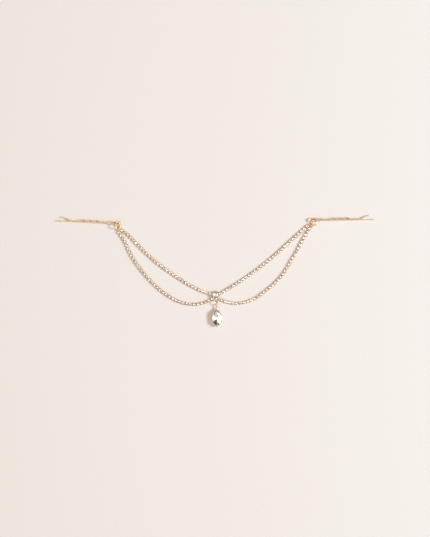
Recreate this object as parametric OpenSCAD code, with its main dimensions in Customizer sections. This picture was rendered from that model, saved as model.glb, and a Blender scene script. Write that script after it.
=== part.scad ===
/* [Hair pins] */
// Length of a pin, from its bend to the tip of its straight leg
pin_length = 52; // [46:1:66]
// Thickness of the flat wire, seen from above
pin_wire_thick = 0.65; // [0.5:0.05:0.8]
// Width of the flat wire, which stands upright as the pin lies on its side
pin_wire_width = 1.3; // [1:0.1:1.6]
// Open gap between the legs just inside the bend
pin_loop_gap = 1.95; // [1.8:0.05:2.6]
// Gap left between the closed legs
pin_closed_gap = 0.12; // [0.1:0.02:0.3]
// Distance from the bend at which the legs have closed
pin_taper_end = 14; // [10:1:16]
// Number of waves in the crimped leg
pin_crimps = 3; // [1:1:4]
// Distance from one wave to the next
pin_crimp_pitch = 5.4; // [4:0.2:6]
// Height of a wave above the closed leg
pin_crimp_height = 0.95; // [0.4:0.05:1.4]
// Distance from the bend to the crest of the first wave
pin_first_crimp = 19.3; // [17:0.1:22]
// How much shorter the crimped leg is than the straight one
pin_short_leg = 4; // [2:0.2:7]
// Length of the flared tip of the crimped leg
pin_flare_length = 7; // [4:0.2:8]
// How far the flared tip stands off
pin_flare_rise = 2.4; // [1:0.1:4]

/* [Rings] */
// Distance from a pin's bend to the middle of its ring, less the bend's own radius
ring_seat = 2; // [1.6:0.1:3]
// Outer diameter of the jump ring on each pin
ring_d = 5.6; // [5.4:0.1:7]
// Wire of the jump ring on each pin
ring_wire = 0.8; // [0.6:0.05:0.9]
// Outer diameter of the jump ring that carries the drop
drop_ring_d = 4; // [3.8:0.1:4.2]
// Wire of the drop's jump ring
drop_ring_wire = 0.6; // [0.5:0.05:0.7]
// Angle by which the drop's jump ring leans up from lying flat
drop_ring_lean = 62; // [50:1:68]

/* [Cup chain] */
// Distance from one cup to the next, which the strand rounds to a whole number of cups
cup_pitch = 3; // [2.95:0.05:3.6]
// Outer diameter of a cup
cup_d = 2.5; // [2.3:0.05:2.55]
// Wall of a cup
cup_wall = 0.18; // [0.12:0.02:0.2]
// Floor of a cup
cup_floor = 0.2; // [0.15:0.05:0.3]
// Height of a cup's metal
cup_h = 1.4; // [1.35:0.05:1.8]
// Depth of the stone's seat inside the cup
cup_seat = 0.35; // [0.25:0.05:0.45]
// Height of the cut top of a stone above its cup
cup_crown = 0.45; // [0.3:0.05:0.7]
// Diameter of a stone in the chain
cup_stone_d = 2.2; // [1.8:0.05:2.25]
// Width of the neck that joins two cups
neck_w = 0.5; // [0.4:0.05:0.6]
// Thickness of the neck
neck_t = 0.3; // [0.2:0.05:0.35]
// Diameter of the neck's head, caught inside the next cup
head_d = 0.95; // [0.9:0.05:1.05]

/* [End bars] */
// Spacing of the two rows of cups at an end bar
row_spacing = 2.75; // [2.7:0.05:3.6]
// Length of an end bar across the two rows
bar_length = 4.2; // [3.6:0.1:6]
// Thickness of an end bar along the chain
bar_thick = 0.8; // [0.6:0.05:1.2]
// Wire of the eye on an end bar
bar_eye_wire = 0.4; // [0.35:0.05:0.5]
// Diameter of the hole in that eye
bar_eye_hole = 1.5; // [1.4:0.05:1.8]

/* [Centre stone] */
// Diameter of the centre stone
centre_stone_d = 4.8; // [4.4:0.1:5.6]
// Diameter of the setting's base
centre_base_d = 4.8; // [4.6:0.1:5.2]
// Height of the base, which the strands tuck in against
centre_base_h = 2.1; // [2:0.1:2.6]
// Wall of the setting
centre_wall = 0.4; // [0.3:0.05:0.5]
// Wall of the setting's flared rim
centre_rim_wall = 0.3; // [0.2:0.05:0.4]
// Height of that rim, from the base to the stone's girdle
centre_rim_h = 0.6; // [0.5:0.05:0.8]
// Height of the centre stone's cut top
centre_crown = 0.7; // [0.5:0.05:1]
// Depth of its pavilion
centre_pavilion = 1.65; // [1.4:0.05:1.7]
// Thickness of the claws
centre_claw_d = 0.6; // [0.5:0.05:0.8]
// Number of claws
centre_claws = 6; // [4:1:8]
// Length of the shank that carries the eye below the setting
centre_shank = 1.2; // [0.7:0.1:2]

/* [Drop] */
// Length of the drop's stone
drop_stone_length = 12.4; // [9:0.2:16]
// Width of the drop's stone
drop_stone_width = 7.2; // [6:0.2:10]
// Radius of the rounded ends of the stone's pointed oval
drop_end_r = 1.2; // [0.8:0.1:1.8]
// Height of the stone's girdle above the surface that the drop lies on
drop_girdle_z = 3.2; // [2.2:0.1:3.6]
// Height of the cut top above the girdle
drop_crown = 1.3; // [0.8:0.1:1.8]
// Depth of the pavilion below the girdle
drop_pavilion = 1.9; // [1.5:0.1:2]
// Wall of the drop's setting
drop_wall = 0.4; // [0.3:0.05:0.6]
// Floor of the drop's setting
drop_floor = 0.4; // [0.3:0.05:0.5]
// Thickness of the claws on the drop
drop_claw_d = 0.75; // [0.6:0.05:1]
// Length of the stem between the drop's eye and its setting
drop_stem = 3.2; // [1.5:0.1:6]
// Wire of the small eyes at the drop's jump ring
small_eye_wire = 0.45; // [0.35:0.05:0.5]
// Diameter of the holes in the small eyes
small_eye_hole = 1; // [0.95:0.05:1.2]

/* [How it lies] */
// Distance between the centres of the two pins' rings
ring_span = 156; // [130:2:190]
// Height of those rings above the centre stone, seen from above
swag_drop = 56.1; // [46:0.1:70]
// How much higher the right ring lies than the left one
side_lift = 2.4; // [-3:0.2:3]
// Turn of the left pin, its tip upward
left_pin_turn = 2.6; // [-5:0.2:8]
// Turn of the right pin, its tip upward
right_pin_turn = 1; // [-5:0.2:8]
// Direction in which the chain leaves the left ring, from its own outward side
left_bar_turn = 238; // [230:1:242]
// Direction in which the chain leaves the right ring, from its own outward side
right_bar_turn = 225; // [220:1:232]
// Sideways shift of the drop from straight below the centre stone
drop_shift = 1; // [0:0.1:1.2]
// Turn of the drop about its eye, its foot to the right
drop_turn = 2; // [-5:0.5:5]

/* [Fits] */
// Clearance between pieces that hook or pass through each other
link_clear = 0.13; // [0.1:0.01:0.15]
// Clearance round a stone in its setting
stone_clear = 0.08; // [0.05:0.01:0.12]

/* [Hidden] */
$fn = 48;

// Chosen points of each strand's route, from the centre stone to the ring,
// as shares of half the ring span and of the swag's height
left_upper_route = [[0.119, 0.042], [0.26, 0.139], [0.422, 0.283], [0.612, 0.479], [0.775, 0.693],
                    [0.884, 0.847]];
left_lower_route = [[0.094, -0.103], [0.205, -0.137], [0.358, -0.1], [0.524, 0.033], [0.69, 0.252],
                    [0.829, 0.509], [0.912, 0.739]];
right_upper_route = [[0.084, 0.042], [0.252, 0.184], [0.456, 0.383], [0.608, 0.556], [0.76, 0.749]];
right_lower_route = [[0.11, -0.098], [0.227, -0.123], [0.379, -0.074], [0.499, 0.035], [0.62, 0.177],
                     [0.707, 0.321], [0.764, 0.457], [0.832, 0.612], [0.883, 0.754]];

// Directions in which the four strands leave the centre setting, and the turn of its claws
upper_leave = 14;
left_lower_leave = 304;
right_lower_leave = 313;
claw_turn = 8;

gold = "goldenrod";
crystal = "lightsteelblue";
overlap = 0.05;
wire_sides = 24;

// Thickness of the girdle that runs round a cut stone
girdle = 0.12;
closed_v = (pin_closed_gap + pin_wire_thick) / 2;
open_v = (pin_loop_gap + pin_wire_thick) / 2;
half_span = ring_span / 2;

// Pin's ring: it hangs round the straight leg just behind the bend, low side under the leg;
// the leg crosses it where its two sides are this share of its radius apart in height
ring_r = (ring_d - ring_wire) / 2;
ring_high = -18;
ring_crossing = 1.74;
ring_spare = 0.1;
ring_swing = (pin_wire_width + ring_wire + 2 * link_clear + ring_spare) / ring_crossing;
ring_tilt = asin(min(0.95, ring_swing / ring_r));
ring_z = ring_r * sin(ring_tilt) + ring_wire / 2;
ring_u = open_v + pin_wire_thick / 2 + ring_seat;
ring_v = pin_loop_gap / 2 - ring_wire / 2 - link_clear - ring_r;
pin_lift = ring_wire + link_clear;
pin_pitch = asin(pin_lift / (pin_length - ring_u));

function side_s(left) = left ? -1 : 1;
function ring_at(left) = [side_s(left) * half_span, swag_drop + side_s(left) * side_lift / 2];
function bar_turn(left) = left ? left_bar_turn : right_bar_turn;
function pin_turn(left) = left ? left_pin_turn : right_pin_turn;

// Point of the ring's centreline that lies in a given direction in plan
function ring_phase(a) = atan2(sin(a - ring_high) * cos(ring_tilt), cos(a - ring_high));
function ring_reach(a) = let (p = ring_phase(a)) ring_r * norm([cos(p) * cos(ring_tilt), sin(p)]);
function ring_height(a) = ring_z + ring_r * cos(ring_phase(a)) * sin(ring_tilt);

bar_eye_r = (bar_eye_hole + bar_eye_wire) / 2;
function bar_eye_z(left) = max(ring_height(bar_turn(left)), bar_eye_r + bar_eye_wire / 2);
function bar_reach(left) = ring_reach(bar_turn(left)) + bar_eye_r + bar_thick / 2;
link_gap = cup_pitch - cup_d;
first_cup_reach = bar_thick / 2 + link_gap + cup_d / 2;
head_lip = 0.05;
neck_z = cup_floor + link_clear + 2 * head_lip;
seat_z = cup_h - cup_seat;
cup_table = 0.56;
cup_facets = 8;
cavity_r = cup_d / 2 - cup_wall;
slot_w = neck_w + 2 * link_clear;

// Plan coordinates, with the centre stone at the origin
function turned(v, a) = [v[0] * cos(a) - v[1] * sin(a), v[0] * sin(a) + v[1] * cos(a)];
function flipped(v, left) = [side_s(left) * v[0], v[1]];
function first_cup(left, row) = ring_at(left)
    + flipped(turned([bar_reach(left) + first_cup_reach, row * row_spacing / 2], bar_turn(left)), left);
last_cup_reach = centre_base_d / 2 + link_gap + cup_d / 2;
function last_cup(left, leave) = flipped(last_cup_reach * [cos(leave), sin(leave)], left);

// A smooth line through chosen points, and cups set along it at even steps
line_steps = 10;
function smooth(p, i, t) =
    let (a = p[max(i - 1, 0)], b = p[i], c = p[i + 1], d = p[min(i + 2, len(p) - 1)])
    0.5 * (2 * b + (c - a) * t + (2 * a - 5 * b + 4 * c - d) * t * t + (3 * b - a - 3 * c + d) * t * t * t);
function line_through(p) = [for (i = [0:len(p) - 2], j = [0:line_steps - 1]) smooth(p, i, j / line_steps),
                            p[len(p) - 1]];
function run_length(p) = [for (i = 0, s = 0; i < len(p);
                               s = s + (i < len(p) - 1 ? norm(p[i + 1] - p[i]) : 0), i = i + 1) s];
function even_points(p, run, count) =
    [for (k = [0:count])
        let (s = run[len(run) - 1] * k / count,
             i = min(len(p) - 2, max([for (j = [0:len(run) - 1]) run[j] <= s ? j : 0])),
             t = (s - run[i]) / (run[i + 1] - run[i]))
        p[i] + (p[i + 1] - p[i]) * t];
function strand_cups(left, row, leave, route) =
    let (chosen = [for (r = route) [side_s(left) * half_span * r[0], swag_drop * r[1]]],
         line = line_through(concat([last_cup(left, leave)], chosen, [first_cup(left, row)])),
         run = run_length(line))
    even_points(line, run, max(2, round(run[len(run) - 1] / cup_pitch)));

// Highest and lowest points of the whole piece, seen from above
flare_tip = [pin_length - pin_short_leg, closed_v + pin_flare_rise + pin_wire_thick / 2];
function pin_top(left) = ring_at(left)[1] + turned(flare_tip - [ring_u, ring_v], pin_turn(left))[1];
centre_eye_y = -(centre_base_d / 2 + small_eye_hole / 2 + small_eye_wire + centre_shank);
drop_ring_r = (drop_ring_d - drop_ring_wire) / 2;
drop_ring_y = centre_eye_y - drop_ring_r;
drop_eye_y = drop_ring_y - drop_ring_r;
drop_half_l = drop_stone_length / 2 + stone_clear + drop_wall;
drop_half_w = drop_stone_width / 2 + stone_clear + drop_wall;
drop_hang = small_eye_hole / 2 + drop_stem + drop_half_l;
drop_claw_out = drop_half_l - drop_wall + overlap + drop_claw_d;
lowest_y = drop_eye_y - (drop_hang + drop_claw_out) * cos(drop_turn);
middle_y = (max(pin_top(false), pin_top(true)) + lowest_y) / 2;

module in_place() { translate([0, -middle_y, 0]) children(); }
module on_side(left) { mirror([left ? 1 : 0, 0, 0]) children(); }
module at_ring(left) {
    translate([ring_at(left)[0], ring_at(left)[1], 0]) on_side(left) children();
}

// A torus of wire, lying flat
module wire_ring(radius, wire) {
    rotate_extrude() translate([radius, 0]) circle(d = wire, $fn = wire_sides);
}

// Centreline of a pin's wire: straight leg from its tip, round the bend, crimped leg to its flared tip
bend_run = 1.5;
function ease(t) = (1 - cos(180 * min(1, max(0, t)))) / 2;
function leg_v(u) = closed_v + (open_v - closed_v)
    * (1 - ease((u - open_v - bend_run) / (pin_taper_end - open_v - bend_run)));
function crimp_v(u) = let (k = round((u - pin_first_crimp) / pin_crimp_pitch),
                           t = (u - pin_first_crimp - k * pin_crimp_pitch) / pin_crimp_pitch)
    k < 0 || k >= pin_crimps ? 0 : pin_crimp_height * (1 + cos(360 * t)) / 2;
flare_start = pin_length - pin_short_leg - pin_flare_length;
function flare_v(u) = pin_flare_rise * sin(90 * min(1, max(0, (u - flare_start) / pin_flare_length)));
bend_u = open_v + pin_wire_thick / 2;
crimped_end = pin_first_crimp + (pin_crimps - 0.5) * pin_crimp_pitch;
function steps(from, to, count) = [for (i = [0:count]) from + (to - from) * i / count];
straight_leg = concat([[pin_length, -closed_v]],
                      [for (u = steps(pin_taper_end, bend_u + bend_run, 8)) [u, -leg_v(u)]]);
bend_arc = [for (a = steps(270, 90, 14)) [bend_u + open_v * cos(a), open_v * sin(a)]];
crimp_us = concat(steps(bend_u + bend_run, pin_taper_end, 8),
                  steps(pin_first_crimp - pin_crimp_pitch / 2, crimped_end, 10 * pin_crimps),
                  steps(flare_start, flare_start + pin_flare_length, 8));
crimped_leg = [for (u = crimp_us) [u, leg_v(u) + crimp_v(u) + flare_v(u)]];
pin_line = concat(straight_leg, bend_arc, crimped_leg);

function side_point(p, i, offset) =
    let (d = p[min(i + 1, len(p) - 1)] - p[max(i - 1, 0)], n = [-d[1], d[0]] / norm(d)) p[i] + n * offset;

module pin_outline() {
    last = len(pin_line) - 1;
    polygon(concat([for (i = [0:last]) side_point(pin_line, i, pin_wire_thick / 2)],
                   [for (i = [last:-1:0]) side_point(pin_line, i, -pin_wire_thick / 2)]));
}

module pin(left) {
    color(gold) in_place() at_ring(left)
        rotate([0, 0, pin_turn(left)]) translate([-ring_u, -ring_v, 0])
            translate([pin_length, 0, 0]) rotate([0, pin_pitch, 0]) translate([-pin_length, 0, 0])
                linear_extrude(pin_wire_width) pin_outline();
}

module pin_ring(left) {
    color(gold) in_place() at_ring(left)
        translate([0, 0, ring_z]) rotate([0, 0, ring_high]) rotate([0, -ring_tilt, 0])
            wire_ring(ring_r, ring_wire);
}

// Neck and head that reach from one cup, bar or setting into the next; they start at x = 0
// and the head's centre lies at x = reach
module neck(reach) {
    translate([0, -neck_w / 2, neck_z]) cube([reach, neck_w, neck_t]);
    translate([reach, 0, neck_z - head_lip]) cylinder(d = head_d, h = neck_t + 2 * head_lip);
}

// How far inside a hollow of radius r a head sits from the hollow's centre
function head_in(r) = r - link_clear - head_d / 2;

// Slot in a wall for a neck that arrives from the +x side
module neck_slot(r) {
    translate([r / 2, -slot_w / 2, neck_z - link_clear])
        cube([r, slot_w, neck_t + 2 * link_clear]);
}

// Cup with its stone: a hollow under the stone for the head, a slot where the neck comes in
module cup(slot_angle, stone_angle) {
    difference() {
        cylinder(d = cup_d, h = cup_h);
        translate([0, 0, cup_floor]) cylinder(r = cavity_r, h = seat_z - cup_floor);
        rotate([0, 0, slot_angle]) neck_slot(cup_d / 2);
    }
    rotate([0, 0, stone_angle]) translate([0, 0, cup_h - overlap])
        cylinder(d1 = cup_stone_d, d2 = cup_stone_d * cup_table, h = cup_crown + overlap, $fn = cup_facets);
}

function heading(a, b) = atan2(b[1] - a[1], b[0] - a[0]);

// A strand runs from the end bar's row to the centre setting, each cup's neck toward the centre
module strand(left, row, leave, route) {
    cups = strand_cups(left, row, leave, route);
    last = len(cups) - 1;
    bar_side = ring_at(left) + flipped(turned([bar_reach(left), row * row_spacing / 2], bar_turn(left)), left);
    for (i = [0:last]) {
        here = cups[i];
        inward = i == 0 ? [0, 0] : cups[i - 1];
        outward = i == last ? bar_side : cups[i + 1];
        reach = norm(inward - here) - head_in(i == 0 ? centre_base_d / 2 - centre_wall : cavity_r);
        toward = heading(here, inward);
        translate([here[0], here[1], 0]) {
            cup(heading(here, outward), toward);
            rotate([0, 0, toward]) translate([cavity_r, 0, 0]) neck(reach - cavity_r);
        }
    }
}

module end_bar(left) {
    eye_z = bar_eye_z(left);
    color(gold) in_place() at_ring(left) rotate([0, 0, bar_turn(left)]) {
        translate([ring_reach(bar_turn(left)), 0, eye_z]) rotate([90, 0, 0])
            wire_ring(bar_eye_r, bar_eye_wire);
        translate([bar_reach(left) - bar_thick / 2, -bar_length / 2, cup_floor])
            cube([bar_thick, bar_length, eye_z + bar_eye_wire / 2 - cup_floor]);
        for (row = [-1, 1])
            translate([bar_reach(left), row * row_spacing / 2, 0])
                neck(first_cup_reach - head_in(cavity_r));
    }
}

// Small eye square to the drop's leaning jump ring, with a short shank toward +y that is a little
// thicker than the eye's wire; the ring's low side rests on the ground and the eyes are at its middle
shank_d = small_eye_wire * 1.3;
small_eye_out = (small_eye_hole + small_eye_wire) / 2;
link_z = drop_ring_r * sin(drop_ring_lean) + drop_ring_wire / 2;
module small_eye(shank) {
    rotate([0, 90 + drop_ring_lean, 0]) wire_ring(small_eye_out, small_eye_wire);
    translate([0, small_eye_out, 0]) rotate([-90, 0, 0]) cylinder(d = shank_d, h = shank);
}

// The centre stone's rows of facets, as shares of its diameter and of its crown's height
table_r = 0.28;
star_r = 0.41;
star_h = 0.62;
culet_r = 0.06;
centre_girdle_z = centre_base_h + centre_rim_h;
centre_seat_r = centre_stone_d / 2 + stone_clear;
centre_rim_r = max(centre_seat_r + centre_rim_wall, centre_base_d / 2);
centre_culet_r = centre_stone_d * culet_r;
centre_hollow_r = centre_base_d / 2 - centre_wall;
centre_step = centre_seat_r - centre_hollow_r;
centre_slope = (centre_pavilion - girdle) / (centre_stone_d / 2 - centre_culet_r);
seat_drop = 1.3;
centre_seat_z = centre_girdle_z - girdle - stone_clear * seat_drop;

// Upright claw just outside a seat of radius r; its round tip leans in over the stone's edge
claw_rise = 1.95;
claw_lean = 0.42;
module claw(r, girdle_z, d) {
    foot = girdle_z - d;
    middle = r + d / 2 + overlap;
    translate([middle, 0, foot]) cylinder(d = d, h = claw_rise * d, $fn = wire_sides);
    translate([middle - claw_lean * d, 0, foot + claw_rise * d - overlap]) sphere(d = d, $fn = wire_sides);
}

// Where the centre setting's shank ends inside its wall: short of the hollow on the shank's inner
// side and past the wall's outside on its outer side
function depth_in(r, x) = sqrt(r * r - x * x);
shank_end = (depth_in(centre_hollow_r, drop_shift - shank_d / 2)
             + depth_in(centre_base_d / 2, drop_shift + shank_d / 2)) / 2;

module centre_setting() {
    color(gold) in_place() {
        difference() {
            rotate_extrude($fn = 96)
                polygon([[0, 0], [centre_base_d / 2, 0], [centre_base_d / 2, centre_base_h],
                         [centre_rim_r, centre_girdle_z], [centre_seat_r, centre_girdle_z],
                         [centre_seat_r, centre_seat_z],
                         [centre_hollow_r, centre_seat_z - centre_step * centre_slope],
                         [centre_hollow_r, cup_floor], [0, cup_floor]]);
            for (a = [upper_leave, right_lower_leave, 180 - upper_leave, 180 - left_lower_leave])
                rotate([0, 0, a]) neck_slot(centre_base_d / 2);
        }
        for (i = [0:centre_claws - 1])
            rotate([0, 0, claw_turn + 360 * i / centre_claws])
                claw(centre_seat_r, centre_girdle_z, centre_claw_d);
        translate([drop_shift, centre_eye_y, link_z])
            small_eye(-centre_eye_y - small_eye_out - shank_end);
    }
}

// A round cut stone: table, star, main and girdle rows of points above, a point below
function ring_of(count, r, z, turn) = [for (i = [0:count - 1]) [r * cos(turn + 360 * i / count),
                                                                r * sin(turn + 360 * i / count), z]];
module centre_stone() {
    color(crystal) in_place() translate([0, 0, centre_girdle_z])
        wrapped(concat(ring_of(8, centre_stone_d * table_r, centre_crown, 22.5),
                       ring_of(8, centre_stone_d * star_r, centre_crown * star_h, 0),
                       ring_of(16, centre_stone_d / 2, 0, 11.25),
                       ring_of(16, centre_stone_d / 2, -girdle, 11.25),
                       ring_of(8, centre_culet_r, -centre_pavilion, 0)));
}

// The cut stone whose corners are the given points
module wrapped(points) {
    hull() polyhedron(points = points, faces = [for (i = [0:len(points) - 3]) [i, i + 1, i + 2]]);
}

module drop_ring() {
    color(gold) in_place() translate([drop_shift, drop_ring_y, link_z]) rotate([0, drop_ring_lean, 0])
        wire_ring(drop_ring_r, drop_ring_wire);
}

// Pointed oval with rounded ends: a wide arc on each side meets an end arc of radius r smoothly
function oval_side_r(l, w, r) = (pow(l - r, 2) + w * w - r * r) / (2 * (w - r));
module pointed_oval(half_l, half_w, r) {
    side_r = oval_side_r(half_l, half_w, r);
    meet_y = side_r * (half_l - r) / (side_r - r);
    intersection() {
        translate([half_w - side_r, 0]) circle(r = side_r, $fn = 96);
        translate([side_r - half_w, 0]) circle(r = side_r, $fn = 96);
        square([4 * half_w, 2 * meet_y], center = true);
    }
    for (s = [-1, 1]) translate([0, s * (half_l - r)]) circle(r = r);
}

// Points on that outline at even shares of its length, for the stone's facets
function oval_at(a, l, w, r) =
    let (sr = oval_side_r(l, w, r), meet = atan2(l - r, sr - w), sx = sign(cos(a)), sy = sign(sin(a)),
         q = asin(min(1, abs(sin(a)))))
    q < meet * 0.999 ? [sx * (w - sr + sr * cos(q)), sy * sr * sin(q)]
                     : [sx * r * cos(q), sy * (l - r + r * sin(q))];
stone_angles = [0, 14, 28, 42, 70];
drop_table = 0.58;
drop_star = 0.84;
drop_star_h = 0.6;
drop_keel = 0.2;
function oval_ring(share, z) =
    let (l = drop_stone_length / 2, w = drop_stone_width / 2,
         quarter = [for (a = stone_angles) oval_at(a, l, w, drop_end_r)],
         half = concat(quarter, [[0, l]], [for (i = [4:-1:1]) [-quarter[i][0], quarter[i][1]]]))
    [for (turn = [1, -1], p = half) [turn * share * p[0], turn * share * p[1], z]];

// The middle of the drop, which hangs from its eye and turns about it
module at_drop() {
    in_place() translate([drop_shift, drop_eye_y, 0]) rotate([0, 0, drop_turn]) translate([0, -drop_hang, 0])
        children();
}

module drop_stone() {
    color(crystal) at_drop() translate([0, 0, drop_girdle_z])
        wrapped(concat(oval_ring(drop_table, drop_crown), oval_ring(drop_star, drop_crown * drop_star_h),
                       oval_ring(1, 0), oval_ring(1, -girdle), oval_ring(drop_keel, -drop_pavilion)));
}

// Claws stand at this share of the way from a side's middle to its end arc
claw_share = 0.62;
drop_outer_end_r = drop_end_r + stone_clear + drop_wall;
drop_side_r = oval_side_r(drop_half_l, drop_half_w, drop_outer_end_r);
drop_meet = atan2(drop_half_l - drop_outer_end_r, drop_side_r - drop_half_w);

module drop_setting() {
    color(gold) at_drop() {
        difference() {
            linear_extrude(drop_girdle_z) pointed_oval(drop_half_l, drop_half_w, drop_outer_end_r);
            translate([0, 0, drop_floor]) linear_extrude(drop_girdle_z)
                pointed_oval(drop_half_l - drop_wall, drop_half_w - drop_wall, drop_end_r + stone_clear);
        }
        for (a = [90, 270]) rotate([0, 0, a]) claw(drop_half_l - drop_wall, drop_girdle_z, drop_claw_d);
        for (turn = [0, 180], a = [-claw_share, claw_share] * drop_meet)
            rotate([0, 0, turn]) translate([drop_half_w - drop_side_r, 0, 0]) rotate([0, 0, a])
                claw(drop_side_r - drop_wall, drop_girdle_z, drop_claw_d);
        translate([0, drop_hang, link_z]) mirror([0, 1, 0])
            small_eye(drop_stem - small_eye_wire / 2 + drop_wall / 2);
    }
}

module left_pin() { pin(true); }
module right_pin() { pin(false); }
module left_ring() { pin_ring(true); }
module right_ring() { pin_ring(false); }
module left_end_bar() { end_bar(true); }
module right_end_bar() { end_bar(false); }
module left_upper_strand() { color(gold) in_place() strand(true, -1, upper_leave, left_upper_route); }
module left_lower_strand() { color(gold) in_place() strand(true, 1, left_lower_leave, left_lower_route); }
module right_upper_strand() { color(gold) in_place() strand(false, -1, upper_leave, right_upper_route); }
module right_lower_strand() { color(gold) in_place() strand(false, 1, right_lower_leave, right_lower_route); }

left_pin();
right_pin();
left_ring();
right_ring();
left_end_bar();
right_end_bar();
left_upper_strand();
left_lower_strand();
right_upper_strand();
right_lower_strand();
centre_setting();
centre_stone();
drop_ring();
drop_setting();
drop_stone();
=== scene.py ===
import math
import random

import bmesh
import bpy
import numpy as np
from mathutils import Matrix, Vector


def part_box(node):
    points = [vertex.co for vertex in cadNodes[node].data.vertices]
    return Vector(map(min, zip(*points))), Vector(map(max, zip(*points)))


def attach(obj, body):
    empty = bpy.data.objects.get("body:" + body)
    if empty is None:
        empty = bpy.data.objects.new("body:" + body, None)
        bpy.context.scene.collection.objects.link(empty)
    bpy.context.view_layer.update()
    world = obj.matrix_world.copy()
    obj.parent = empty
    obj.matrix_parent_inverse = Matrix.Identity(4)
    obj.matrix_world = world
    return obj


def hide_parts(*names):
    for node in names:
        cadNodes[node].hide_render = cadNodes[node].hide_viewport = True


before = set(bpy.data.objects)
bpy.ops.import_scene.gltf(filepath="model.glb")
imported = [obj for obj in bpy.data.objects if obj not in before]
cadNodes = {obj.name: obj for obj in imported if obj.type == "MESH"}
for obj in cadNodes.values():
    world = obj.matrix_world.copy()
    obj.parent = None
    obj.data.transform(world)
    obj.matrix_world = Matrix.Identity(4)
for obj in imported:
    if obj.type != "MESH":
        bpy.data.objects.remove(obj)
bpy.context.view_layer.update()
mm = 0.001
upright, sideways = Vector((0, 0, 1)), Vector((0, 1, 0))
print("packed frame loaded:", len(cadNodes), "nodes")


# Colours and materials

def linearFromHex(code):
    # sRGB hex to the linear colour that the shaders take
    parts = [int(code[k:k + 2], 16) / 255 for k in (1, 3, 5)]
    return [p / 12.92 if p <= 0.04045 else ((p + 0.055) / 1.055) ** 2.4 for p in parts] + [1]


def addNode(material, kind, settings=None, links=None):
    # one node with its settings and the sockets that feed it
    node = material.node_tree.nodes.new(kind)
    for key, value in (settings or {}).items():
        if hasattr(node, key):
            setattr(node, key, value)
        else:
            node.inputs[key].default_value = value
    for key, source in (links or {}).items():
        material.node_tree.links.new(source, node.inputs[key])
    return node


def newMaterial(name):
    material = bpy.data.materials.new(name)
    material.use_nodes = True
    material.node_tree.nodes.clear()
    return material


def finishMaterial(material, shader):
    addNode(material, "ShaderNodeOutputMaterial", links={"Surface": shader.outputs[0]})
    return material


def twoTone(material, noise, dark, light, low=0.3, high=0.7):
    # a soft change between two hex colours where the noise rises
    ramp = addNode(material, "ShaderNodeValToRGB", links={"Fac": noise.outputs["Fac"]})
    ramp.color_ramp.elements[0].position, ramp.color_ramp.elements[1].position = low, high
    ramp.color_ramp.elements[0].color = linearFromHex(dark)
    ramp.color_ramp.elements[1].color = linearFromHex(light)
    return ramp


def platedMetal(name, look):
    # a polished plated metal: clouds of tone, roughness that varies a little and a faint hand-polished wave
    material = newMaterial(name)
    place = addNode(material, "ShaderNodeTexCoord").outputs["Object"]
    clouds = addNode(material, "ShaderNodeTexNoise",
                     {"Scale": 1 / (look["cloudSize"] * mm), "Detail": 3.0, "Roughness": 0.6}, {"Vector": place})
    waves = addNode(material, "ShaderNodeTexNoise",
                    {"Scale": 1 / (look["waveSize"] * mm), "Detail": 2.0}, {"Vector": place})
    tone = twoTone(material, clouds, look["darkTone"], look["lightTone"])
    rough = addNode(material, "ShaderNodeMapRange",
                    {"To Min": look["roughness"] * 0.75, "To Max": look["roughness"] * 1.25},
                    {"Value": clouds.outputs["Fac"]})
    bump = addNode(material, "ShaderNodeBump",
                   {"Strength": look["waveStrength"], "Distance": look["waveDepth"] * mm},
                   {"Height": waves.outputs["Fac"]})
    shader = addNode(material, "ShaderNodeBsdfPrincipled", {"Metallic": 1.0},
                     {"Base Color": tone.outputs["Color"], "Roughness": rough.outputs["Result"],
                      "Normal": bump.outputs["Normal"]})
    return finishMaterial(material, shader)


# Gold plate over brass, tumbled bright: warm and nearly mirror-like, in soft clouds of deeper and paler gold
goldPlate = platedMetal("gold_plated_brass", {
    "darkTone": "#e5b873", "lightTone": "#f8daa4", "cloudSize": 2.5, "roughness": 0.2,
    "waveSize": 0.9, "waveStrength": 0.25, "waveDepth": 0.02})

# The castings that hold the two large stones: a thin, pale flash of gold over bright nickel, almost cream in the light
paleGold = platedMetal("pale_gold_flashed_castings", {
    "darkTone": "#e0bd94", "lightTone": "#f7e8d4", "cloudSize": 2.0, "roughness": 0.18,
    "waveSize": 0.8, "waveStrength": 0.25, "waveDepth": 0.02})

# Spring steel strip, rolled, then lacquered gold: satin, with softer glints than the plated parts
pinLacquer = platedMetal("gold_lacquered_steel", {
    "darkTone": "#f0d2a0", "lightTone": "#fdeccc", "cloudSize": 4.0, "roughness": 0.28,
    "waveSize": 0.6, "waveStrength": 0.3, "waveDepth": 0.02})

# Stamped brass cups, gold flashed: a little rougher, since the punch leaves its grain
cupPlate = platedMetal("stamped_gold_cups", {
    "darkTone": "#dba24e", "lightTone": "#fad897", "cloudSize": 1.6, "roughness": 0.24,
    "waveSize": 0.5, "waveStrength": 0.25, "waveDepth": 0.015})

# The links between the cups never meet the polishing wheel, so they are duller; their browner, darker gold is painted
# shade between the cups, so that they part the bright stones
shadedLinkPlate = platedMetal("dull_gold_links_painted_shade", {
    "darkTone": "#ca9350", "lightTone": "#e9ba77", "cloudSize": 1.0, "roughness": 0.42,
    "waveSize": 0.3, "waveStrength": 0.3, "waveDepth": 0.015})


def cutGlass(name, look):
    # a clear glass with soft clouds in its tint
    material = newMaterial(name)
    place = addNode(material, "ShaderNodeTexCoord").outputs["Object"]
    clouds = addNode(material, "ShaderNodeTexNoise", {"Scale": 1 / (look["cloudSize"] * mm)}, {"Vector": place})
    tint = twoTone(material, clouds, look["darkTone"], look["lightTone"])
    shader = addNode(material, "ShaderNodeBsdfPrincipled",
                     {"Transmission Weight": 1.0, "IOR": look["ior"], "Roughness": look["roughness"]},
                     {"Base Color": tint.outputs["Color"]})
    return finishMaterial(material, shader)


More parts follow.
